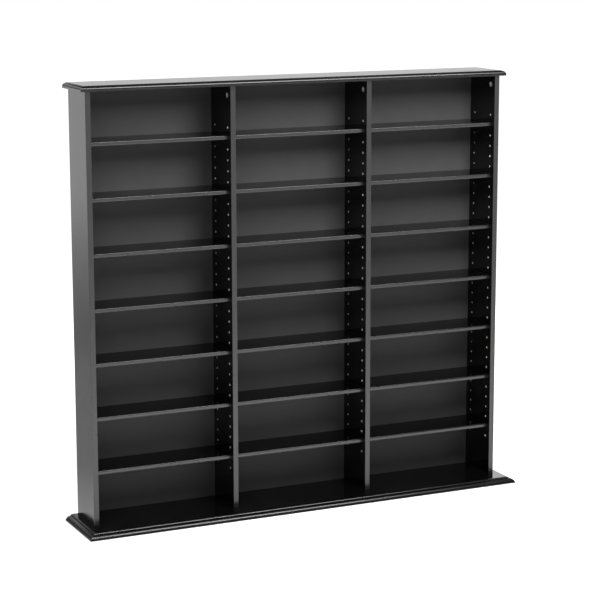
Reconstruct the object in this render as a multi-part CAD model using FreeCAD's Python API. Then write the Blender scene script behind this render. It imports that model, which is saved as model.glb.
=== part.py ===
import FreeCAD, Part
import math
import os

# A floor-standing rack of adjustable shelves for discs and tapes, made of laminated board.
# Sizes are in millimetres. X runs along the wall, Y from the front to the wall and Z up.
# The origin is on the floor, under the middle of the base.

# Uprights: two sides and the dividers between the bays
bay_count = 3
bay_width = 426.0
upright_thickness = 16.0
upright_height = 1265.0
upright_depth = 147.0
upright_arris = 1.0

# Top panel and its moulded edge: a bowed round below, and a rolled edge a small step above it
top_thickness = 16.0
top_side_overhang = 16.0
top_front_overhang = 13.0
top_edge_inset = 10.0
top_edge_step = 1.5
top_edge_round = 9.0
top_edge_bow = 2.5
top_edge_roll = 3.0

# Base panel and its moulded edge, of the same kind
base_thickness = 18.0
base_side_overhang = 38.0
base_front_overhang = 77.0
base_edge_inset = 16.0
base_edge_step = 4.0
base_edge_round = 12.0
base_edge_bow = 3.0
base_edge_roll = 8.0

# The upright part of a moulding's step, as a share of the step
quirk_share = 0.15

# Back panels, behind the uprights and between the top and the base
back_thickness = 3.0
back_side_inset = 2.0
back_seam = 1.0
back_top_gap = 0.5
rear_lip = 2.0

# Shelf-pin holes: two rows on each upright, six-sided because there are so many
hole_sides = 6
hole_across = 5.0
hole_pitch = 32.0
hole_first_drop = 122.0
hole_last_rise = 118.0
hole_front_setback = 24.0
hole_row_gap = 96.0
hole_spare_depth = 2.0

# Shelf pins
pin_clearance = 0.1
pin_meeting_gap = 0.5
pin_stand = 8.0

# Shelves, each on four pins that are sunk into its underside
shelf_first_hole = 1
shelf_hole_step = 5
shelf_thickness = 12.0
shelf_front_setback = 18.0
shelf_rear_gap = 1.0
shelf_end_gap = 1.0
shelf_arris = 2.0
shelf_pin_rise = 3.0
shelf_seat_gap = 0.1
groove_gap = 0.8

# Cam locks and their bolts, at the front of each upright's top
cam_sides = 16
cam_across = 15.0
cam_drop = 28.0
cam_setback = 25.0
cam_back_wall = 3.5
cam_slot_length = 9.0
cam_slot_width = 1.8
cam_slot_depth = 2.5
bolt_thread_length = 10.0
bolt_across = 6.0
bolt_neck_across = 3.6
bolt_neck_length = 6.0
bolt_head_length = 3.0

# Dowels at the rear of each upright's top
dowel_across = 8.0
dowel_in_top = 10.0
dowel_in_upright = 20.0
dowel_rear_setback = 30.0

# Screws up through the base, two for each upright
screw_across = 6.0
screw_length = 50.0
screw_head_across = 10.0
screw_head_length = 4.0
screw_recess = 1.0
screw_end_setback = 35.0

# Nails through the back panels
nail_pitch = 240.0
nail_end_margin = 30.0
nail_across = 1.6
nail_length = 20.0
nail_head_across = 4.5
nail_head_length = 0.8

# Clearance of hidden hardware in its bores, and how far a cut runs past a surface
bore_clearance = 0.2
overshoot = 1.0
hardware_sides = 6

X = FreeCAD.Vector(1, 0, 0)
Y = FreeCAD.Vector(0, 1, 0)
Z = FreeCAD.Vector(0, 0, 1)

# Places that follow from the sizes above
upright_pitch = bay_width + upright_thickness
case_width = bay_count * upright_pitch + upright_thickness
base_depth = base_front_overhang + upright_depth + back_thickness + rear_lip
base_front = -base_depth / 2
base_rear = base_depth / 2
case_front = base_front + base_front_overhang
case_rear = case_front + upright_depth
case_floor = base_thickness
case_ceiling = case_floor + upright_height
hole_count = int((upright_height - hole_first_drop - hole_last_rise) // hole_pitch) + 1
hole_rows = [case_front + hole_front_setback, case_front + hole_front_setback + hole_row_gap]
shelf_levels = range(shelf_first_hole, hole_count, shelf_hole_step)
pin_across = hole_across - pin_clearance
pin_grip = (upright_thickness - pin_meeting_gap) / 2
cam_depth = upright_thickness - cam_back_wall
cam_y = case_front + cam_setback
cam_z = case_ceiling - cam_drop
dowel_y = case_rear - dowel_rear_setback
screw_rows = [case_front + screw_end_setback, case_rear - screw_end_setback]


def upright_left(index):
    """X of the left face of an upright, counted from the left."""
    return index * upright_pitch - case_width / 2


def upright_middle(index):
    return upright_left(index) + upright_thickness / 2


def hole_level(number):
    """Height of the centre of a shelf-pin hole, counted from the top of its row."""
    return case_ceiling - hole_first_drop - number * hole_pitch


def point(x, y, z):
    return FreeCAD.Vector(x, y, z)


def flat_face(points):
    return Part.Face(Part.makePolygon(points + points[:1]))


def rod(sides, across, start, direction, length):
    """A straight bar with flat sides, lying with a flat on top."""
    up = Y if abs(direction.z) > 0.5 else Z
    side = up.cross(direction)
    reach = across / 2 / math.cos(math.pi / sides)
    corners = []
    for number in range(sides):
        angle = (number + 0.5) * 2 * math.pi / sides
        corners.append(start + up * (reach * math.cos(angle)) + side * (reach * math.sin(angle)))
    return flat_face(corners).extrude(direction * length)


def moulded_edge(corner, outward, thickness, inset, step, round_height, bow, roll):
    """Moulding from a plate's lower outer corner up to its flat top, and where the flat starts.

    From below it is a land, a bowed round, a short upright quirk and a rolled edge that ends level.
    """
    quirk = step * quirk_share
    land_top = corner + Z * (thickness - step - round_height)
    quirk_foot = corner - outward * inset + Z * (thickness - step)
    quirk_top = quirk_foot + Z * quirk
    bulge = outward * round_height + Z * inset
    crown = (land_top + quirk_foot) * 0.5 + bulge * (bow / bulge.Length)
    roll_turn = math.acos(1 - (step - quirk) / roll)
    half_turn = roll_turn / 2
    flat_start = quirk_top - outward * (roll * math.sin(roll_turn)) + Z * (step - quirk)
    shoulder = flat_start + outward * (roll * math.sin(half_turn)) - Z * (roll * (1 - math.cos(half_turn)))
    edges = [
        Part.makeLine(corner, land_top),
        Part.Arc(land_top, crown, quirk_foot).toShape(),
        Part.makeLine(quirk_foot, quirk_top),
        Part.Arc(quirk_top, shoulder, flat_start).toShape(),
    ]
    return edges, flat_start


def prism(edges, along):
    """A closed run of edges, drawn out in a straight line."""
    return Part.Face(Part.Wire(edges)).extrude(along)


def moulded_plate(width, front, rear, floor, thickness, *profile):
    """A plate with one moulding on its front and both sides, mitred where they meet."""
    left_corner = point(-width / 2, front, floor)
    right_corner = point(width / 2, front, floor)
    rear_corner = point(-width / 2, rear, floor)
    rear_top = rear_corner + Z * thickness
    front_edge, front_flat = moulded_edge(left_corner, -Y, thickness, *profile)
    left_edge, left_flat = moulded_edge(left_corner, -X, thickness, *profile)
    right_edge, right_flat = moulded_edge(right_corner, X, thickness, *profile)
    lengthways = prism([Part.makeLine(rear_corner, left_corner)] + front_edge
                       + [Part.makeLine(front_flat, rear_top), Part.makeLine(rear_top, rear_corner)],
                       X * width)
    crossways = prism([Part.makeLine(right_corner, left_corner)] + left_edge
                      + [Part.makeLine(left_flat, right_flat)] + right_edge[::-1],
                      Y * (rear - front))
    return lengthways.common(crossways).Solids[0]


def board(low, high, along, arris):
    """A board between two corners, with the two front edges that run along one axis eased."""
    size = high - low
    blank = Part.makeBox(size.x, size.y, size.z, low)
    front_edges = []
    for edge in blank.Edges:
        start, end = [vertex.Point for vertex in edge.Vertexes]
        on_front = abs(start.y - low.y) + abs(end.y - low.y) < arris / 2
        if on_front and abs((end - start).dot(along)) > arris:
            front_edges.append(edge)
    return blank.makeChamfer(arris, front_edges)


def cam_bore(index):
    """The start and direction of the cam lock's bore in an upright.

    The left side has its cam on the inner face. The others have theirs on the left face.
    """
    on_right = index == 0
    face = upright_left(index) + (upright_thickness if on_right else 0)
    return point(face, cam_y, cam_z), (-X if on_right else X)


def pin_holes(index):
    """Drilled rows of an upright: blind in the two sides, right through the dividers."""
    left = upright_left(index)
    right = left + upright_thickness
    depth = pin_grip + hole_spare_depth
    tools = []
    for y in hole_rows:
        for number in range(hole_count):
            z = hole_level(number)
            if index == 0:
                tools.append(rod(hole_sides, hole_across, point(right + overshoot, y, z), -X,
                                 depth + overshoot))
            elif index == bay_count:
                tools.append(rod(hole_sides, hole_across, point(left - overshoot, y, z), X,
                                 depth + overshoot))
            else:
                tools.append(rod(hole_sides, hole_across, point(left - overshoot, y, z), X,
                                 upright_thickness + 2 * overshoot))
    return tools


def upright(index):
    left = upright_left(index)
    panel = board(point(left, case_front, case_floor),
                  point(left + upright_thickness, case_rear, case_ceiling), Z, upright_arris)
    middle = upright_middle(index)
    cam_start, cam_way = cam_bore(index)
    tools = pin_holes(index)
    tools.append(rod(cam_sides, cam_across, cam_start, cam_way, cam_depth))
    tools.append(rod(hardware_sides, bolt_across + bore_clearance, point(middle, cam_y, cam_z), Z,
                     cam_drop + overshoot))
    tools.append(rod(hardware_sides, dowel_across + bore_clearance,
                     point(middle, dowel_y, case_ceiling - dowel_in_upright), Z,
                     dowel_in_upright + overshoot))
    for y in screw_rows:
        tools.append(rod(hardware_sides, screw_across + bore_clearance,
                         point(middle, y, case_floor - overshoot), Z,
                         screw_recess + screw_length - base_thickness + overshoot))
    return panel.cut(Part.makeCompound(tools)).Solids[0]


def cam_lock(index):
    """A round cam with a cross slot on its face and a channel that takes the bolt's head."""
    start, way = cam_bore(index)
    body = rod(cam_sides, cam_across, start, way, cam_depth)
    channel = rod(hardware_sides, bolt_across + bore_clearance,
                  point(upright_middle(index), cam_y, cam_z - bolt_head_length), Z, cam_across)
    slots = []
    for length, height in ((cam_slot_length, cam_slot_width), (cam_slot_width, cam_slot_length)):
        corners = [start + Y * (a * length / 2) + Z * (b * height / 2)
                   for a, b in ((-1, -1), (1, -1), (1, 1), (-1, 1))]
        slots.append(flat_face(corners).extrude(way * cam_slot_depth))
    return body.cut(channel).cut(slots[0].fuse(slots[1])).Solids[0]


def cam_bolt(index):
    """A stud screwed into the top panel, with a neck and a head in the cam lock."""
    foot = point(upright_middle(index), cam_y, cam_z - bolt_head_length / 2)
    neck = foot + Z * bolt_head_length
    shank = neck + Z * bolt_neck_length
    shank_length = case_ceiling + bolt_thread_length - shank.z
    head_part = rod(hardware_sides, bolt_across, foot, Z, bolt_head_length)
    neck_part = rod(hardware_sides, bolt_neck_across, neck, Z, bolt_neck_length)
    shank_part = rod(hardware_sides, bolt_across, shank, Z, shank_length)
    return head_part.fuse([neck_part, shank_part]).removeSplitter().Solids[0]


def top_dowel(index):
    return rod(hardware_sides, dowel_across,
               point(upright_middle(index), dowel_y, case_ceiling - dowel_in_upright), Z,
               dowel_in_upright + dowel_in_top)


def base_screw(index, y):
    foot = point(upright_middle(index), y, screw_recess)
    head = rod(hardware_sides, screw_head_across, foot, Z, screw_head_length)
    shank = rod(hardware_sides, screw_across, foot, Z, screw_length)
    return head.fuse(shank).removeSplitter().Solids[0]


def top_panel():
    plate = moulded_plate(case_width + 2 * top_side_overhang, case_front - top_front_overhang, base_rear,
                          case_ceiling, top_thickness, top_edge_inset, top_edge_step, top_edge_round,
                          top_edge_bow, top_edge_roll)
    tools = []
    for index in range(bay_count + 1):
        below = case_ceiling - overshoot
        tools.append(rod(hardware_sides, bolt_across + bore_clearance,
                         point(upright_middle(index), cam_y, below), Z, bolt_thread_length + overshoot))
        tools.append(rod(hardware_sides, dowel_across + bore_clearance,
                         point(upright_middle(index), dowel_y, below), Z, dowel_in_top + overshoot))
    return plate.cut(Part.makeCompound(tools)).Solids[0]


def base_panel():
    plate = moulded_plate(case_width + 2 * base_side_overhang, base_front, base_rear,
                          0, base_thickness, base_edge_inset, base_edge_step, base_edge_round,
                          base_edge_bow, base_edge_roll)
    for index in range(bay_count + 1):
        for y in screw_rows:
            below = point(upright_middle(index), y, -overshoot)
            head = rod(hardware_sides, screw_head_across + bore_clearance, below, Z,
                       overshoot + screw_recess + screw_head_length)
            shank = rod(hardware_sides, screw_across + bore_clearance, below, Z,
                        base_thickness + 2 * overshoot)
            plate = plate.cut(head.fuse(shank))
    return plate.Solids[0]


def back_edges(bay):
    """Left and right edges of a back panel: near a side's outer face, or at a divider's middle."""
    left = upright_middle(bay) + back_seam / 2
    right = upright_middle(bay + 1) - back_seam / 2
    if bay == 0:
        left = upright_left(bay) + back_side_inset
    if bay == bay_count - 1:
        right = upright_left(bay + 1) + upright_thickness - back_side_inset
    return left, right


def back_panel(bay):
    left, right = back_edges(bay)
    return Part.makeBox(right - left, back_thickness, upright_height - back_top_gap,
                        point(left, case_rear, case_floor))


def nails(bay):
    """Two lines of nails, each in the middle of the strip where the back covers an upright."""
    left, right = back_edges(bay)
    bay_left = upright_left(bay) + upright_thickness
    bay_right = upright_left(bay + 1)
    gaps = int((upright_height - 2 * nail_end_margin) // nail_pitch)
    spacing = (upright_height - 2 * nail_end_margin) / gaps
    made = []
    for x in ((left + bay_left) / 2, (bay_right + right) / 2):
        for number in range(gaps + 1):
            z = case_floor + nail_end_margin + number * spacing
            surface = point(x, case_rear + back_thickness, z)
            head = rod(hardware_sides, nail_head_across, surface, Y, nail_head_length)
            shank = rod(hardware_sides, nail_across, surface, -Y, nail_length)
            made.append(head.fuse(shank).Solids[0])
    return made


def shelf(bay, level):
    """A loose shelf with a groove along each end of its underside.

    A groove stops short of the front edge and runs out at the rear, so the shelf hides its pins
    and pulls out over them.
    """
    left = upright_left(bay) + upright_thickness + shelf_end_gap
    right = upright_left(bay + 1) - shelf_end_gap
    front = case_front + shelf_front_setback
    rear = case_rear - shelf_rear_gap
    floor = level - shelf_pin_rise
    plank = board(point(left, front, floor), point(right, rear, floor + shelf_thickness), X, shelf_arris)
    groove_width = pin_stand - shelf_end_gap + groove_gap
    groove_front = hole_rows[0] - pin_across / 2 - groove_gap
    groove_top = level + pin_across / 2 + shelf_seat_gap
    for start in (left - overshoot, right - groove_width):
        groove = Part.makeBox(groove_width + overshoot, rear - groove_front + overshoot,
                              groove_top - floor + overshoot,
                              point(start, groove_front, floor - overshoot))
        plank = plank.cut(groove)
    return plank.Solids[0]


def pins(bay, level):
    """The four pins under one shelf, pushed half into the uprights on either hand."""
    made = []
    for y in hole_rows:
        for wall, way in ((upright_left(bay) + upright_thickness, X), (upright_left(bay + 1), -X)):
            start = point(wall, y, level) - way * pin_grip
            made.append(rod(hole_sides, pin_across, start, way, pin_grip + pin_stand))
    return made


uprights = range(bay_count + 1)
bays = range(bay_count)
levels = [hole_level(number) for number in shelf_levels]
parts = {"base_panel": base_panel(), "top_panel": top_panel()}

for index in uprights:
    name = "divider_%d" % index
    if index == 0:
        name = "left_side_panel"
    if index == bay_count:
        name = "right_side_panel"
    parts[name] = upright(index)

for bay in bays:
    parts["back_panel_%d" % (bay + 1)] = back_panel(bay)
    for row, level in enumerate(levels):
        parts["shelf_%d_%d" % (bay + 1, row + 1)] = shelf(bay, level)

groups = {
    "shelf_pins": [pin for bay in bays for level in levels for pin in pins(bay, level)],
    "cam_locks": [cam_lock(index) for index in uprights],
    "cam_bolts": [cam_bolt(index) for index in uprights],
    "top_dowels": [top_dowel(index) for index in uprights],
    "base_screws": [base_screw(index, y) for index in uprights for y in screw_rows],
    "back_nails": [nail for bay in bays for nail in nails(bay)],
}
for name, solids in groups.items():
    parts[name] = Part.makeCompound(solids)

os.makedirs("parts", exist_ok=True)
for name, shape in parts.items():
    shape.exportStep("parts/%s.step" % name)
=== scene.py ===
import math

import bmesh
import bpy
from mathutils import Matrix, Vector


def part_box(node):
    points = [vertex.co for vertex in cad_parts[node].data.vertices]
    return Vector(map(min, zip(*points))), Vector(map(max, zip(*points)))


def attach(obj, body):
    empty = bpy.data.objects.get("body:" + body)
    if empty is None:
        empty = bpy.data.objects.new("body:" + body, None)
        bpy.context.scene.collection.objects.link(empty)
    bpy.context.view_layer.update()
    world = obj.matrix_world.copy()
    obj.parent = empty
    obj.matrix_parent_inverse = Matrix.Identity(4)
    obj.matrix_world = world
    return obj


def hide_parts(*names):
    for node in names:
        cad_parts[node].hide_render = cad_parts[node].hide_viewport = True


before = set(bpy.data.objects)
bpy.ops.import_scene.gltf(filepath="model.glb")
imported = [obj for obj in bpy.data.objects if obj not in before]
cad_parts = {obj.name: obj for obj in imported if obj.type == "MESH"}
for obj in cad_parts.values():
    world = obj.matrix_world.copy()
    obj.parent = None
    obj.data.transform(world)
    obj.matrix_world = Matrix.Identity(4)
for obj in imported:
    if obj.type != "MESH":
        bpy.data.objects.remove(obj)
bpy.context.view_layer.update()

# Base: one plate of fibreboard whose front and side edges are run over a moulding cutter.
# Black foil is drawn over the moulding and round its mitred corners, while the rear edge and
# the underside stay raw. It lies on the floor and carries the whole rack.
MM = 0.001
base_moulding = {"inset": 16 * MM, "step": 4 * MM, "rise": 12 * MM, "bow": 3.0 * MM, "roll": 8 * MM,
                 "quirk": 0.6 * MM}
eased_foot = 0.5 * MM
screw_setback = 35 * MM
screw_sink = 1.0 * MM
screw_head_radius = 5.0 * MM
screw_head_depth = 4.0 * MM
bore_clearance = 0.1 * MM
# How much of a face's normal lies along an axis when the face looks that way, or lies dead flat.
facing = 0.9
dead_flat = 0.9999
sharp_corner = math.radians(40)


def linear(code):
    """The linear colour of an sRGB hex value."""
    channels = [int(code[i:i + 2], 16) / 255 for i in (1, 3, 5)]
    return [c / 12.92 if c < 0.04045 else ((c + 0.055) / 1.055) ** 2.4 for c in channels] + [1]


def add(finish, kind, settings, links=None):
    """Adds a node to a material, with its settings and what is linked into it."""
    node = finish.node_tree.nodes.new("ShaderNode" + kind)
    for key, value in settings.items():
        if isinstance(key, int) or key in node.inputs:
            node.inputs[key].default_value = value
        else:
            setattr(node, key, value)
    for key, socket in (links or {}).items():
        finish.node_tree.links.new(socket, node.inputs[key])
    return node


def new_finish(name):
    """An empty material."""
    finish = bpy.data.materials.new(name)
    finish.use_nodes = True
    finish.node_tree.nodes.clear()
    return finish


# Black foil on fibreboard: pressed hot, so the flat shines like lacquer with a faint orange peel.
# Where the foil is drawn over the moulding it is stretched and loses some of its gloss.
foils = []
for name, glossiest, dullest in (("black_foil_pressed_flat", 0.08, 0.13),
                                 ("black_foil_drawn_over_moulding", 0.22, 0.28)):
    foil = new_finish(name)
    place = add(foil, "TexCoord", {})
    peel = add(foil, "TexNoise", {"Scale": 1 / (5 * MM), "Detail": 1.0},
               {"Vector": place.outputs["Object"]})
    smear = add(foil, "TexNoise", {"Scale": 1 / (70 * MM), "Detail": 3.0},
                {"Vector": place.outputs["Object"]})
    gloss = add(foil, "MapRange",
                {"From Min": 0.3, "From Max": 0.7, "To Min": glossiest, "To Max": dullest},
                {"Value": smear.outputs["Fac"]})
    tone = add(foil, "Mix", {"data_type": "RGBA", 6: linear("#060607"), 7: linear("#0a0a0b")},
               {0: smear.outputs["Fac"]})
    dimple = add(foil, "Bump", {"Strength": 0.15, "Distance": 0.04 * MM}, {"Height": peel.outputs["Fac"]})
    skin = add(foil, "BsdfPrincipled", {"IOR": 1.55},
               {"Base Color": tone.outputs[2], "Roughness": gloss.outputs["Result"],
                "Normal": dimple.outputs["Normal"]})
    add(foil, "OutputMaterial", {}, {"Surface": skin.outputs["BSDF"]})
    foils.append(foil)

# Raw board where it was sawn or drilled: pale flakes of wood in darker glue, with no shine. The
# raw fibreboard of the base and the top is drawn with the same flakes.
raw_board = new_finish("raw_particle_board_sawn")
place = add(raw_board, "TexCoord", {})
flakes = add(raw_board, "TexVoronoi", {"Scale": 1 / (2.5 * MM)}, {"Vector": place.outputs["Object"]})
dust = add(raw_board, "TexNoise", {"Scale": 1 / (0.8 * MM), "Detail": 4.0},
           {"Vector": place.outputs["Object"]})
shade = add(raw_board, "SeparateColor", {}, {"Color": flakes.outputs["Color"]})
flake_tone = add(raw_board, "Mix", {"data_type": "RGBA", 6: linear("#c9bea9"), 7: linear("#ece5d6")},
                 {0: shade.outputs["Red"]})
tone = add(raw_board, "Mix", {"data_type": "RGBA", "blend_type": "MULTIPLY", 0: 0.2},
           {6: flake_tone.outputs[2], 7: dust.outputs["Color"]})
pits = add(raw_board, "Bump", {"Strength": 0.6, "Distance": 0.3 * MM}, {"Height": dust.outputs["Fac"]})
skin = add(raw_board, "BsdfPrincipled", {"Roughness": 0.85, "IOR": 1.45},
           {"Base Color": tone.outputs[2], "Normal": pits.outputs["Normal"]})
add(raw_board, "OutputMaterial", {}, {"Surface": skin.outputs["BSDF"]})


def corners(node):
    """The lowest and highest corners of a CAD node."""
    low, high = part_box(node)
    return Vector(low), Vector(high)


def moulded_plate(low, high, inset, step, rise, bow, roll, quirk):
    """A plate whose moulding runs round its left, front and right edges with mitred corners.

    From below, the moulding is a land, a bowed round, a short upright quirk and a rolled edge. Its
    finishes are 0 on the flat, 1 on the moulding and 2 on the raw rear edge and underside.
    """
    thick = high.z - low.z
    chord = math.hypot(inset, rise)
    radius = chord ** 2 / (8 * bow) + bow / 2
    lean = math.atan2(inset, rise)
    sweep = math.asin(chord / 2 / radius)
    centre = (inset / 2 + (radius - bow) * math.cos(lean),
              thick - step - rise / 2 - (radius - bow) * math.sin(lean))
    roll_sweep = math.acos(1 - (step - quirk) / roll)
    turns = 14
    roll_turns = 8
    outline = [(eased_foot, 0.0), (0.0, eased_foot)]
    for number in range(turns + 1):
        angle = lean + sweep * (2 * number / turns - 1)
        outline.append((centre[0] - radius * math.cos(angle), centre[1] + radius * math.sin(angle)))
    for number in range(roll_turns + 1):
        angle = roll_sweep * (1 - number / roll_turns)
        outline.append((inset + roll * (math.sin(roll_sweep) - math.sin(angle)),
                        thick - roll * (1 - math.cos(angle))))
    plate = bmesh.new()
    rings = []
    for inward, up in outline:
        left, right, front, level = low.x + inward, high.x - inward, low.y + inward, low.z + up
        spots = ((left, high.y), (left, front), (right, front), (right, high.y))
        rings.append([plate.verts.new((x, y, level)) for x, y in spots])
    for lower, upper in zip(rings, rings[1:]):
        for side in range(len(lower) - 1):
            plate.faces.new((lower[side], lower[side + 1], upper[side + 1], upper[side]))
    plate.faces.new(rings[0][::-1])
    plate.faces.new(rings[-1])
    plate.faces.new([ring[-1] for ring in rings] + [ring[0] for ring in rings[::-1]])
    bmesh.ops.recalc_face_normals(plate, faces=plate.faces)
    for face in plate.faces:
        bare = face.normal.y > facing or face.normal.z < -facing
        face.material_index = 2 if bare else 0 if face.normal.z > dead_flat else 1
    return plate


def turned(form, outline, start, way, sides=20):
    """Adds a turned piece to a form: rings along its axis, each with a radius or a rule of the angle."""
    turn = Vector(way).to_track_quat("Z", "Y").to_matrix()
    rings = []
    for along, radius in outline:
        ring = []
        for number in range(sides):
            angle = number * 2 * math.pi / sides
            reach = radius(angle) if callable(radius) else radius
            spot = Vector((reach * math.cos(angle), reach * math.sin(angle), along))
            ring.append(form.verts.new(Vector(start) + turn @ spot))
        rings.append(ring)
    for lower, upper in zip(rings, rings[1:]):
        for n in range(sides):
            form.faces.new((lower[n], lower[n - sides + 1], upper[n - sides + 1], upper[n]))
    form.faces.new(rings[0][::-1])
    form.faces.new(rings[-1])


def cut(form, tool, finishes, wall):
    """A form with a tool cut out of it. The cut faces take the wall's finish."""
    blanks = []
    for source, skins in ((form, finishes), (tool, [wall])):
        mesh = bpy.data.meshes.new("blank")
        source.to_mesh(mesh)
        source.free()
        for finish in skins:
            mesh.materials.append(finish)
        blanks.append(bpy.data.objects.new("blank", mesh))
        bpy.context.scene.collection.objects.link(blanks[-1])
    saw = blanks[0].modifiers.new("saw", "BOOLEAN")
    saw.object = blanks[1]
    saw.operation = "DIFFERENCE"
    saw.solver = "EXACT"
    saw.material_mode = "TRANSFER"
    view = bpy.context.evaluated_depsgraph_get()
    result = bpy.data.meshes.new_from_object(blanks[0].evaluated_get(view))
    done = bmesh.new()
    done.from_mesh(result)
    for mesh in (result, blanks[0].data, blanks[1].data):
        bpy.data.meshes.remove(mesh)
    return done


def new_piece(name, form, finishes, body, slot, *nodes):
    """A form as a piece that rides on a body and stands for these nodes.

    Its flat faces stay flat, its rounds are shaded smooth and its corners stay sharp.
    """
    form.normal_update()
    for face in form.faces:
        face.smooth = max(abs(axis) for axis in face.normal) < dead_flat
    for edge in form.edges:
        edge.smooth = edge.calc_face_angle(math.pi) < sharp_corner
    mesh = bpy.data.meshes.new(name)
    form.to_mesh(mesh)
    form.free()
    for finish in finishes:
        mesh.materials.append(finish)
    piece = bpy.data.objects.new(name, mesh)
    bpy.context.scene.collection.objects.link(piece)
    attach(piece, body)
    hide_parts(*nodes)


upright_nodes = ["left_side_panel", "divider_1", "divider_2", "right_side_panel"]
upright_corners = [corners(node) for node in upright_nodes]
upright_middles = [(low.x + high.x) / 2 for low, high in upright_corners]
case_low, case_high = upright_corners[0]
screw_rows = [case_low.y + screw_setback, case_high.y - screw_setback]
base = moulded_plate(*corners("base_panel"), **base_moulding)
bore_radius = screw_head_radius + bore_clearance
bore_outline = [(0, bore_radius), (2 * screw_sink + screw_head_depth, bore_radius)]
bores = bmesh.new()
for x in upright_middles:
    for y in screw_rows:
        turned(bores, bore_outline, (x, y, -screw_sink), (0, 0, 1))
plate_skins = foils + [raw_board]
base = cut(base, bores, plate_skins, raw_board)
new_piece("moulded_base", base, plate_skins, "case", "black_moulded_board", "base_panel")

# Uprights: two sides and two dividers of particle board, with black laminate on both faces and a
# black vinyl band on the front edge. Two rows of shelf-pin holes are drilled on a 32 mm pitch,
# blind in the sides and right through the dividers, and a bore near the top takes a cam lock.
upright_arris = 1.0 * MM
hole_radius = 2.5 * MM
hole_flare = 0.5 * MM
hole_pitch = 32 * MM
hole_count = 33
hole_drop = 122 * MM
hole_setback = 24 * MM
hole_row_gap = 96 * MM
hole_depth = 9.75 * MM
cam_radius = 7.5 * MM
cam_depth = 12.5 * MM
cam_setback = 25 * MM
cam_drop = 28 * MM
hole_rows = [case_low.y + hole_setback, case_low.y + hole_setback + hole_row_gap]
cam_y = case_low.y + cam_setback
cam_z = case_high.z - cam_drop

# Black melamine laminate: resin paper pressed against a satin plate. It mirrors what is near it,
# a little blurred by a fine pearl texture, and the board under it is never quite flat.
laminate = new_finish("black_melamine_laminate_pressed_satin")
place = add(laminate, "TexCoord", {})
sway = add(laminate, "TexNoise", {"Scale": 1 / (220 * MM), "Detail": 0.0},
           {"Vector": place.outputs["Object"]})
pearl = add(laminate, "TexNoise", {"Scale": 1 / (2 * MM), "Detail": 2.0},
            {"Vector": place.outputs["Object"]})
smear = add(laminate, "TexNoise", {"Scale": 1 / (60 * MM), "Detail": 4.0},
            {"Vector": place.outputs["Object"]})
gloss = add(laminate, "MapRange", {"From Min": 0.3, "From Max": 0.7, "To Min": 0.14, "To Max": 0.20},
            {"Value": smear.outputs["Fac"]})
tone = add(laminate, "Mix", {"data_type": "RGBA", 6: linear("#020202"), 7: linear("#050505")},
           {0: smear.outputs["Fac"]})
wave = add(laminate, "Bump", {"Strength": 1.0, "Distance": 0.5 * MM}, {"Height": sway.outputs["Fac"]})
grit = add(laminate, "Bump", {"Strength": 0.1, "Distance": 0.02 * MM},
           {"Height": pearl.outputs["Fac"], "Normal": wave.outputs["Normal"]})
skin = add(laminate, "BsdfPrincipled", {"IOR": 1.5},
           {"Base Color": tone.outputs[2], "Roughness": gloss.outputs["Result"],
            "Normal": grit.outputs["Normal"]})
add(laminate, "OutputMaterial", {}, {"Surface": skin.outputs["BSDF"]})

# Black vinyl edge band: extruded tape, glued on and scraped, duller and greyer than the laminate.
vinyl = new_finish("black_vinyl_edge_band_extruded")
place = add(vinyl, "TexCoord", {})
scrape = add(vinyl, "TexNoise", {"Scale": 1 / (12 * MM), "Detail": 3.0},
             {"Vector": place.outputs["Object"]})
gloss = add(vinyl, "MapRange", {"From Min": 0.3, "From Max": 0.7, "To Min": 0.22, "To Max": 0.28},
            {"Value": scrape.outputs["Fac"]})
tone = add(vinyl, "Mix", {"data_type": "RGBA", 6: linear("#161617"), 7: linear("#1c1c1d")},
           {0: scrape.outputs["Fac"]})
skin = add(vinyl, "BsdfPrincipled", {"IOR": 1.65},
           {"Base Color": tone.outputs[2], "Roughness": gloss.outputs["Result"]})
add(vinyl, "OutputMaterial", {}, {"Surface": skin.outputs["BSDF"]})
board_skins = [laminate, vinyl, raw_board]


def board(low, high, along, arris):
    """A board with a banded front edge, rounded where the band was scraped, and raw ends and rear.

    Its length runs along an axis: 0 for a shelf, 2 for an upright.
    """
    least_front = 0.1
    blank = bmesh.new()
    bmesh.ops.create_cube(blank, size=1, matrix=Matrix.LocRotScale((low + high) / 2, None, high - low))
    front_edges = []
    for edge in blank.edges:
        start, end = (vert.co for vert in edge.verts)
        if max(start.y, end.y) < low.y + arris and abs(start[along] - end[along]) > arris:
            front_edges.append(edge)
    bmesh.ops.bevel(blank, geom=front_edges, offset=arris, segments=4, profile=0.5, affect="EDGES")
    blank.normal_update()
    for face in blank.faces:
        banded = face.normal.y < -least_front
        bare = face.normal.y > facing or abs(face.normal[along]) > facing
        face.material_index = 1 if banded else 2 if bare else 0
    return blank


last_upright = len(upright_nodes) - 1
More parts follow.
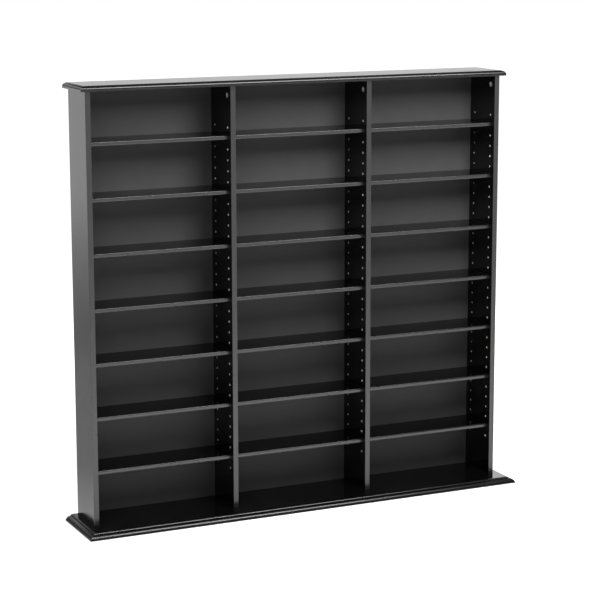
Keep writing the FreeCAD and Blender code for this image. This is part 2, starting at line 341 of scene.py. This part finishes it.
# How far a cutter reaches out past the face that it cuts.
past = 1.0 * MM
for number, node in enumerate(upright_nodes):
    low, high = upright_corners[number]
    bores = bmesh.new()
    for y in hole_rows:
        for hole in range(hole_count):
            z = high.z - hole_drop - hole * hole_pitch
            if number == 0:
                start, depth, way = (high.x + past, y, z), hole_depth + past, (-1, 0, 0)
            elif number == last_upright:
                start, depth, way = (low.x - past, y, z), hole_depth + past, (1, 0, 0)
            else:
                start, depth, way = (low.x - past, y, z), high.x - low.x + 2 * past, (1, 0, 0)
            mouth = [(0, hole_radius + hole_flare), (past, hole_radius + hole_flare),
                     (past + hole_flare, hole_radius)]
            foot = [(depth, hole_radius)]
            if 0 < number < last_upright:
                foot = [(depth - along, radius) for along, radius in mouth[::-1]]
            turned(bores, mouth + foot, start, way, sides=16)
    cam_face, cam_way = (high.x + past, (-1, 0, 0)) if number == 0 else (low.x - past, (1, 0, 0))
    cam_bore = [(0, cam_radius), (cam_depth + past, cam_radius)]
    turned(bores, cam_bore, (cam_face, cam_y, cam_z), cam_way, sides=32)
    panel = cut(board(low, high, 2, upright_arris), bores, board_skins, raw_board)
    new_piece("upright_" + node, panel, board_skins, "case", "black_laminate", node)

# Base screws: steel joining screws with a coarse thread and a hexagon socket in the head.
# Two go up through the base into the bottom of each upright, with their heads sunk below it.
screw_radius = 3.0 * MM
screw_length = 50 * MM
screw_root = 2.3 * MM
screw_tip = 0.8 * MM
screw_head_chamfer = 0.4 * MM
thread_pitch = 3.0 * MM
thread_foot = 0.9 * MM
thread_slope = 1.5 * MM
socket_reach = 2.3 * MM
socket_depth = 2.5 * MM

# Zinc-plated steel: a cold grey shine, clouded by the plating bath.
zinc_steel = new_finish("steel_zinc_plated_bright")
place = add(zinc_steel, "TexCoord", {})
cloud = add(zinc_steel, "TexNoise", {"Scale": 1 / (3 * MM), "Detail": 3.0},
            {"Vector": place.outputs["Object"]})
gloss = add(zinc_steel, "MapRange", {"From Min": 0.3, "From Max": 0.7, "To Min": 0.22, "To Max": 0.38},
            {"Value": cloud.outputs["Fac"]})
tone = add(zinc_steel, "Mix", {"data_type": "RGBA", 6: linear("#b4b6b8"), 7: linear("#cfd1d2")},
           {0: cloud.outputs["Fac"]})
skin = add(zinc_steel, "BsdfPrincipled", {"Metallic": 1.0},
           {"Base Color": tone.outputs[2], "Roughness": gloss.outputs["Result"]})
add(zinc_steel, "OutputMaterial", {}, {"Surface": skin.outputs["BSDF"]})


def hexagon(angle):
    """Reach of the hexagon socket's wall at an angle."""
    return socket_reach * math.cos(math.pi / 6) / math.cos(angle % (math.pi / 3) - math.pi / 6)


thread_end = screw_length - screw_head_depth
screw_outline = [(0, screw_tip)]
turn_count = int(thread_end / thread_pitch)
for turn in range(turn_count):
    foot = turn * thread_pitch + thread_foot
    screw_outline += [(foot, screw_root), (foot + thread_slope, screw_radius)]
screw_outline += [(thread_end, screw_root), (thread_end, screw_head_radius),
                  (screw_length - screw_head_chamfer, screw_head_radius),
                  (screw_length, screw_head_radius - screw_head_chamfer), (screw_length, hexagon),
                  (screw_length - socket_depth, hexagon)]
screws = bmesh.new()
for x in upright_middles:
    for y in screw_rows:
        turned(screws, screw_outline, (x, y, screw_sink + screw_length), (0, 0, -1), sides=24)
new_piece("base_screw_set", screws, [zinc_steel], "case", "zinc_plated_steel", "base_screws")

# Cam locks: zinc discs with a cross slot, cast and then tumbled, let in flush near the top of
# each upright. A turn with a screwdriver draws the bolt in the top panel down.
cam_rim = 0.8 * MM
cam_bevel = 0.3 * MM
cam_dish = 0.5 * MM
slot_reach = 4.5 * MM
slot_half_width = 0.9 * MM
slot_depth = 2.5 * MM

# Cast zinc: dull pale grey with the fine grain of the die.
cast_zinc = new_finish("zinc_die_cast_tumbled")
place = add(cast_zinc, "TexCoord", {})
grain = add(cast_zinc, "TexNoise", {"Scale": 1 / (0.6 * MM), "Detail": 2.0},
            {"Vector": place.outputs["Object"]})
tone = add(cast_zinc, "Mix", {"data_type": "RGBA", 6: linear("#c4c5c8"), 7: linear("#dadbdd")},
           {0: grain.outputs["Fac"]})
pits = add(cast_zinc, "Bump", {"Strength": 0.3, "Distance": 0.05 * MM}, {"Height": grain.outputs["Fac"]})
skin = add(cast_zinc, "BsdfPrincipled", {"Metallic": 1.0, "Roughness": 0.6},
           {"Base Color": tone.outputs[2], "Normal": pits.outputs["Normal"]})
add(cast_zinc, "OutputMaterial", {}, {"Surface": skin.outputs["BSDF"]})


def cross(angle):
    """Reach of the cross slot's wall at an angle."""
    least = 1e-6
    across, up = abs(math.cos(angle)) + least, abs(math.sin(angle)) + least
    arms = (min(slot_reach / a, slot_half_width / b) for a, b in ((across, up), (up, across)))
    return max(arms)


disc = cam_radius - bore_clearance
cam_outline = [(0, disc), (cam_depth - cam_bevel, disc), (cam_depth, disc - cam_bevel),
               (cam_depth, disc - cam_rim), (cam_depth - cam_dish, disc - cam_rim - cam_bevel),
               (cam_depth - cam_dish, cross), (cam_depth - slot_depth, cross)]
cams = bmesh.new()
for number, (low, high) in enumerate(upright_corners):
    if number == 0:
        turned(cams, cam_outline, (high.x - cam_depth, cam_y, cam_z), (1, 0, 0), sides=32)
    else:
        turned(cams, cam_outline, (low.x + cam_depth, cam_y, cam_z), (-1, 0, 0), sides=32)
new_piece("cam_lock_set", cams, [cast_zinc], "case", "zinc_casting", "cam_locks")

# Cam bolts: steel studs screwed into the underside of the top panel. The head below the neck
# hangs in the cam lock, inside the upright.
bolt_radius = 3.0 * MM
bolt_neck_radius = 1.8 * MM
bolt_head = 3.0 * MM
bolt_head_chamfer = 0.5 * MM
bolt_neck = 6.0 * MM
bolt_point = 1.0 * MM
bolt_in_top = 10 * MM
bolt_length = case_high.z + bolt_in_top - cam_z + bolt_head / 2
bolt_outline = [(0, bolt_radius - bolt_head_chamfer), (bolt_head_chamfer, bolt_radius),
                (bolt_head, bolt_radius), (bolt_head, bolt_neck_radius),
                (bolt_head + bolt_neck, bolt_neck_radius), (bolt_head + bolt_neck, bolt_radius),
                (bolt_length - bolt_point, bolt_radius), (bolt_length, bolt_radius - bolt_point)]
bolts = bmesh.new()
for x in upright_middles:
    turned(bolts, bolt_outline, (x, cam_y, cam_z - bolt_head / 2), (0, 0, 1))
new_piece("cam_bolt_set", bolts, [zinc_steel], "case", "zinc_plated_steel", "cam_bolts")

# Dowels: fluted beech pegs, glued into the top of each upright near the rear. They keep the
# top panel from turning.
dowel_radius = 4.0 * MM
dowel_flute = 0.3 * MM
flute_count = 12
dowel_chamfer = 1.0 * MM
dowel_in_upright = 20 * MM
dowel_length = 30 * MM
dowel_setback = 30 * MM

# Beech: pale pinkish wood with short dark flecks, turned and left bare.
beech = new_finish("beech_turned_bare")
place = add(beech, "TexCoord", {})
stretch = add(beech, "Mapping", {"Scale": (1, 1, 0.15)}, {"Vector": place.outputs["Object"]})
fleck = add(beech, "TexNoise", {"Scale": 1 / (0.8 * MM), "Detail": 3.0},
            {"Vector": stretch.outputs["Vector"]})
tone = add(beech, "Mix", {"data_type": "RGBA", 6: linear("#b98d64"), 7: linear("#d9b48c")},
           {0: fleck.outputs["Fac"]})
skin = add(beech, "BsdfPrincipled", {"Roughness": 0.6, "IOR": 1.5}, {"Base Color": tone.outputs[2]})
add(beech, "OutputMaterial", {}, {"Surface": skin.outputs["BSDF"]})


def fluted(angle):
    """Reach of the dowel's fluted side at an angle."""
    return dowel_radius - dowel_flute * (1 - math.cos(flute_count * angle)) / 2


dowel_outline = [(0, dowel_radius - dowel_chamfer), (dowel_chamfer, fluted),
                 (dowel_length - dowel_chamfer, fluted), (dowel_length, dowel_radius - dowel_chamfer)]
dowels = bmesh.new()
for x in upright_middles:
    foot = (x, case_high.y - dowel_setback, case_high.z - dowel_in_upright)
    turned(dowels, dowel_outline, foot, (0, 0, 1), sides=4 * flute_count)
new_piece("top_dowel_set", dowels, [beech], "case", "beech", "top_dowels")

# Top: a thinner plate of fibreboard, moulded and wrapped like the base but with foil on its
# underside too, which shows in the bays. It lies on the four uprights, and the cam locks draw
# it down onto them.
top_moulding = {"inset": 10 * MM, "step": 1.5 * MM, "rise": 9 * MM, "bow": 2.5 * MM, "roll": 3 * MM,
                "quirk": 0.225 * MM}
top = moulded_plate(*corners("top_panel"), **top_moulding)
for face in top.faces:
    if face.normal.z < -facing:
        face.material_index = 0
new_piece("moulded_top", top, plate_skins, "case", "black_moulded_board", "top_panel")

# Backs: three sheets of thin hardboard, printed black on the face, one behind each bay. They
# are nailed to the rear edges of the uprights and meet at the dividers.

# Printed face: black ink on smooth hardboard, a dull dark grey with a soft sheen.
printed = new_finish("hardboard_printed_black")
place = add(printed, "TexCoord", {})
felt = add(printed, "TexNoise", {"Scale": 1 / (1.5 * MM), "Detail": 3.0},
           {"Vector": place.outputs["Object"]})
blotch = add(printed, "TexNoise", {"Scale": 1 / (40 * MM), "Detail": 3.0},
             {"Vector": place.outputs["Object"]})
gloss = add(printed, "MapRange", {"From Min": 0.3, "From Max": 0.7, "To Min": 0.55, "To Max": 0.62},
            {"Value": blotch.outputs["Fac"]})
tone = add(printed, "Mix", {"data_type": "RGBA", 6: linear("#454546"), 7: linear("#4d4d4e")},
           {0: blotch.outputs["Fac"]})
nap = add(printed, "Bump", {"Strength": 0.1, "Distance": 0.05 * MM}, {"Height": felt.outputs["Fac"]})
skin = add(printed, "BsdfPrincipled", {"IOR": 1.5, "Specular IOR Level": 0.3},
           {"Base Color": tone.outputs[2], "Roughness": gloss.outputs["Result"],
            "Normal": nap.outputs["Normal"]})
add(printed, "OutputMaterial", {}, {"Surface": skin.outputs["BSDF"]})

# Screen side: brown fibre with the square print of the wire mesh it was pressed on, which
# breaks up the light so that it looks dull from every side. The wires are 1.6 mm apart and the
# fibres 1 mm thick, too fine to show, so they are drawn at 8 mm and 6 mm. A wave texture of
# scale 1 repeats every pi / 10.
mesh_spacing = 8 * MM
mesh_scale = math.pi / 10 / mesh_spacing
screen_side = new_finish("hardboard_raw_screen_pressed")
place = add(screen_side, "TexCoord", {})
fibre = add(screen_side, "TexNoise", {"Scale": 1 / (6 * MM), "Detail": 6.0},
            {"Vector": place.outputs["Object"]})
cloud = add(screen_side, "TexNoise", {"Scale": 1 / (120 * MM), "Detail": 2.0},
            {"Vector": place.outputs["Object"]})
wires = add(screen_side, "TexWave", {"Scale": mesh_scale, "bands_direction": "X"},
            {"Vector": place.outputs["Object"]})
weft = add(screen_side, "TexWave", {"Scale": mesh_scale, "bands_direction": "Z"},
           {"Vector": place.outputs["Object"]})
print_height = add(screen_side, "Math", {"operation": "MULTIPLY"},
                   {0: wires.outputs["Fac"], 1: weft.outputs["Fac"]})
cloud_tone = add(screen_side, "Mix", {"data_type": "RGBA", 6: linear("#6b4a30"), 7: linear("#86603f")},
                 {0: cloud.outputs["Fac"]})
fleck = add(screen_side, "MapRange", {"From Min": 0.35, "From Max": 0.65, "To Min": 0.55, "To Max": 1.0},
            {"Value": fibre.outputs["Fac"]})
tone = add(screen_side, "Mix", {"data_type": "RGBA", "blend_type": "MULTIPLY", 0: 1.0},
           {6: cloud_tone.outputs[2], 7: fleck.outputs["Result"]})
weave = add(screen_side, "Bump", {"Strength": 0.6, "Distance": 0.8 * MM},
            {"Height": print_height.outputs["Value"]})
skin = add(screen_side, "BsdfPrincipled", {"Roughness": 0.8, "IOR": 1.45},
           {"Base Color": tone.outputs[2], "Normal": weave.outputs["Normal"]})
add(screen_side, "OutputMaterial", {}, {"Surface": skin.outputs["BSDF"]})
back_nodes = ["back_panel_1", "back_panel_2", "back_panel_3"]
for node in back_nodes:
    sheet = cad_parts[node].data
    sheet.materials.clear()
    sheet.materials.append(printed)
    sheet.materials.append(screen_side)
    for face in sheet.polygons:
        face.material_index = 0 if face.normal.y < -facing else 1

# Nails: flat-headed steel pins that hold the backs, driven into the middle of the strip where
# a back covers an upright.
nail_radius = 0.8 * MM
nail_length = 20 * MM
nail_tip = 0.1 * MM
nail_point = 2 * MM
nail_head_radius = 2.2 * MM
nail_head_depth = 0.8 * MM
nail_crown_radius = 1.32 * MM
nail_rim = 0.4 * MM
nail_margin = 30 * MM
nail_gaps = 5
nail_outline = [(0, nail_tip), (nail_point, nail_radius), (nail_length, nail_radius),
                (nail_length, nail_head_radius), (nail_length + nail_rim, nail_head_radius),
                (nail_length + nail_head_depth, nail_crown_radius)]
nail_gap = (case_high.z - case_low.z - 2 * nail_margin) / nail_gaps
nails = bmesh.new()
for bay, node in enumerate(back_nodes):
    low, high = corners(node)
    inner_left, inner_right = upright_corners[bay][1].x, upright_corners[bay + 1][0].x
    for x in ((low.x + inner_left) / 2, (inner_right + high.x) / 2):
        for number in range(nail_gaps + 1):
            z = case_low.z + nail_margin + number * nail_gap
            turned(nails, nail_outline, (x, high.y - nail_length, z), (0, 1, 0), sides=12)
new_piece("back_nail_set", nails, [zinc_steel], "case", "zinc_plated_steel", "back_nails")

# Shelf pins: steel pegs with chamfered ends, zinc plated like the screws. Four carry a shelf,
# each pushed half way into a hole.
pin_radius = 2.4 * MM
pin_grip = 7.75 * MM
pin_stand = 8.0 * MM
pin_chamfer = 0.5 * MM
pin_rise = 3.0 * MM
bay_count = len(back_nodes)
row_count = 7
shelf_nodes = [["shelf_%d_%d" % (bay + 1, row + 1) for row in range(row_count)] for bay in range(bay_count)]
pin_length = pin_grip + pin_stand
pin_outline = [(0, pin_radius - pin_chamfer), (pin_chamfer, pin_radius),
               (pin_length - pin_chamfer, pin_radius), (pin_length, pin_radius - pin_chamfer)]
pins = bmesh.new()
for bay, row_nodes in enumerate(shelf_nodes):
    left_wall, right_wall = upright_corners[bay][1].x, upright_corners[bay + 1][0].x
    for node in row_nodes:
        z = corners(node)[0].z + pin_rise
        for y in hole_rows:
            turned(pins, pin_outline, (left_wall - pin_grip, y, z), (1, 0, 0), sides=16)
            turned(pins, pin_outline, (right_wall + pin_grip, y, z), (-1, 0, 0), sides=16)
new_piece("shelf_pin_set", pins, [zinc_steel], "case", "zinc_plated_steel", "shelf_pins")

# Shelves: loose boards, laminated and banded like the uprights. A stopped groove is milled
# along each end of the underside, so that a shelf drops over its pins and hides them.
shelf_arris = 3.0 * MM
groove_width = 7.8 * MM
groove_height = 5.55 * MM
groove_lead = 3.25 * MM
groove_front = hole_rows[0] - groove_lead
for row_nodes in shelf_nodes:
    for node in row_nodes:
        low, high = corners(node)
        grooves = bmesh.new()
        for left, right in ((low.x - past, low.x + groove_width), (high.x - groove_width, high.x + past)):
            first = Vector((left, groove_front, low.z - past))
            last = Vector((right, high.y + past, low.z + groove_height))
            bmesh.ops.create_cube(grooves, size=1,
                                  matrix=Matrix.LocRotScale((first + last) / 2, None, last - first))
        plank = cut(board(low, high, 0, shelf_arris), grooves, board_skins, raw_board)
        new_piece(node + "_board", plank, board_skins, node, "black_laminate", node)

# Studio floor: white paper, which keeps the rack's soft shadow. It adds a white glow of its own
# towards the camera, so that it runs into the background; the glow is weaker near the rack, a painted
# shade round it. Reflections show the glow full in front of the rack and far off, and none behind it, a
# painted shade that makes the floor greyer there.
floor_half = 30.0
floor_drop = 0.3 * MM

# White paper: rolled smooth and matt, with no shine. The distances are in metres from the rack's
# middle, where its real shade and the painted shade of the held-back glow are deepest.
paper = new_finish("white_paper_rolled_matt")
rays = add(paper, "LightPath", {})
place = add(paper, "TexCoord", {})
reach = add(paper, "VectorMath", {"operation": "LENGTH"}, {0: place.outputs["Object"]})
depth = add(paper, "SeparateXYZ", {}, {"Vector": place.outputs["Object"]})
# Glow for the camera: held back near the rack, a painted shade round it.
camera_glow_painted_shade = add(paper, "MapRange", {"From Min": 0.7, "From Max": 2.2, "To Min": 0.45, "To Max": 0.90,
                               "interpolation_type": "SMOOTHSTEP"}, {"Value": reach.outputs["Value"]})
direct = add(paper, "Math", {"operation": "MULTIPLY"},
             {0: rays.outputs["Is Camera Ray"], 1: camera_glow_painted_shade.outputs["Result"]})
# Glow in reflections: full in front, none behind the rack until far off, a painted shade behind it.
front = add(paper, "MapRange", {"From Min": -0.6, "From Max": 0.65, "To Min": 1.0, "To Max": 0.0},
            {"Value": depth.outputs["Y"]})
far = add(paper, "MapRange", {"From Min": 3.0, "From Max": 7.5, "To Min": 0.0, "To Max": 1.0},
          {"Value": reach.outputs["Value"]})
reflected_glow_painted_shade = add(paper, "Math", {"operation": "MAXIMUM"},
               {0: front.outputs["Result"], 1: far.outputs["Result"]})
seen = add(paper, "Math", {"operation": "MAXIMUM"},
           {0: rays.outputs["Is Glossy Ray"], 1: rays.outputs["Is Transmission Ray"]})
mirrored = add(paper, "Math", {"operation": "MULTIPLY"},
               {0: seen.outputs["Value"], 1: reflected_glow_painted_shade.outputs["Value"]})
lift = add(paper, "Math", {"operation": "MAXIMUM"},
           {0: direct.outputs["Value"], 1: mirrored.outputs["Value"]})
skin = add(paper, "BsdfPrincipled", {"Base Color": linear("#ececec"), "Roughness": 0.9,
                                     "Specular IOR Level": 0.0, "Emission Color": linear("#ffffff")},
           {"Emission Strength": lift.outputs["Value"]})
add(paper, "OutputMaterial", {}, {"Surface": skin.outputs["BSDF"]})
ground = bmesh.new()
bmesh.ops.create_grid(ground, x_segments=4, y_segments=4, size=floor_half,
                      matrix=Matrix.Translation((0, 0, -floor_drop)))
ground_mesh = bpy.data.meshes.new("studio_floor")
ground.to_mesh(ground_mesh)
ground.free()
ground_mesh.materials.append(paper)
studio_floor = bpy.data.objects.new("studio_floor", ground_mesh)
bpy.context.scene.collection.objects.link(studio_floor)

# Studio walls and ceiling: white at the horizon and dark overhead, as the camera and reflections
# see them. Their light on the rack comes evenly from all round.
walls_end = 0.0
ceiling_start = 0.10
ceiling_tone = 0.12
ambient = 0.24
studio = bpy.data.worlds.new("white_studio")
studio.use_nodes = True
studio.node_tree.nodes.clear()
way = add(studio, "TexCoord", {})
height = add(studio, "SeparateXYZ", {}, {"Vector": way.outputs["Generated"]})
walls = add(studio, "MapRange", {"From Min": walls_end, "From Max": ceiling_start, "To Min": 1.0,
                                 "To Max": ceiling_tone}, {"Value": height.outputs["Z"]})
rays = add(studio, "LightPath", {})
seen = add(studio, "Math", {"operation": "MAXIMUM"},
           {0: rays.outputs["Is Camera Ray"], 1: rays.outputs["Is Glossy Ray"]})
seen_through = add(studio, "Math", {"operation": "MAXIMUM"},
                   {0: seen.outputs["Value"], 1: rays.outputs["Is Transmission Ray"]})
strength = add(studio, "MapRange", {"To Min": ambient},
               {"Value": seen_through.outputs["Value"], "To Max": walls.outputs["Result"]})
glow = add(studio, "Background", {"Color": linear("#ffffff")}, {"Strength": strength.outputs["Result"]})
add(studio, "OutputWorld", {}, {"Surface": glow.outputs["Background"]})
bpy.context.scene.world = studio


# Softboxes: lamps behind white cloth, out of the camera's sight. Two in front light the bays and
# one lights the rear, without showing in the black gloss. A reflector above the front shows in
# the gloss alone, and three dim boxes behind the rack draw the sheen on its sides.
def softbox(name, spot, aim, wide, high, brightness, lit=True, mirrored=True):
    """A soft light whose power follows from its area and how bright its face looks.

    It may light what is dull without showing in what is glossy, or the other way round.
    """
    lamp = bpy.data.lights.new(name, "AREA")
    lamp.shape = "RECTANGLE"
    lamp.size = wide
    lamp.size_y = high
    lamp.energy = brightness * math.pi * wide * high
    box = bpy.data.objects.new(name, lamp)
    box.location = spot
    box.rotation_euler = (Vector(aim) - Vector(spot)).to_track_quat("-Z", "Y").to_euler()
    box.visible_camera = False
    box.visible_diffuse = lit
    box.visible_glossy = mirrored
    bpy.context.scene.collection.objects.link(box)


softbox("front_softbox", (0.55, -1.50, 2.20), (0.45, 0.0, 1.0), 1.0, 0.9, 22.0, mirrored=False)
softbox("front_reflector", (0.70, -1.10, 2.55), (0.60, -0.05, 0.7), 1.8, 0.55, 15.0, lit=False)
softbox("left_softbox", (-2.00, -1.30, 2.40), (-0.4, 0.0, 1.1), 1.6, 1.4, 7.0, mirrored=False)
softbox("rear_softbox", (0.3, 2.4, 2.7), (0.0, 0.1, 0.6), 2.0, 1.0, 5.0, mirrored=False)
softbox("backdrop_softbox", (0.65, 2.5, 1.2), (0.65, 0.0, 1.2), 3.8, 2.0, 0.45)
softbox("left_rear_softbox", (-0.85, 2.5, 1.9), (-0.85, 0.0, 1.5), 1.2, 0.6, 0.5)
softbox("right_softbox", (2.3, 2.6, 0.85), (0.3, 0.1, 0.7), 1.6, 0.9, 1.1)

# Camera: at the photograph's angle, to the left of the rack and a little above its top. The lens
# is a long one, in millimetres, and the turns are in degrees.
lens_length = 117.75
sensor_width = 36.0
camera_spot = (-2.45683, -5.26232, 1.74027)
turn_right = 25.107
tilt_down = 10.832
roll = -0.101
camera_data = bpy.data.cameras.new("camera")
camera_data.lens = lens_length
camera_data.sensor_width = sensor_width
camera = bpy.data.objects.new("camera", camera_data)
aim = (Matrix.Rotation(math.radians(-turn_right), 4, "Z")
       @ Matrix.Rotation(math.radians(90 - tilt_down), 4, "X")
       @ Matrix.Rotation(math.radians(roll), 4, "Z"))
camera.matrix_world = Matrix.Translation(camera_spot) @ aim
bpy.context.scene.collection.objects.link(camera)
bpy.context.scene.camera = camera
bpy.context.scene.view_settings.view_transform = "Standard"
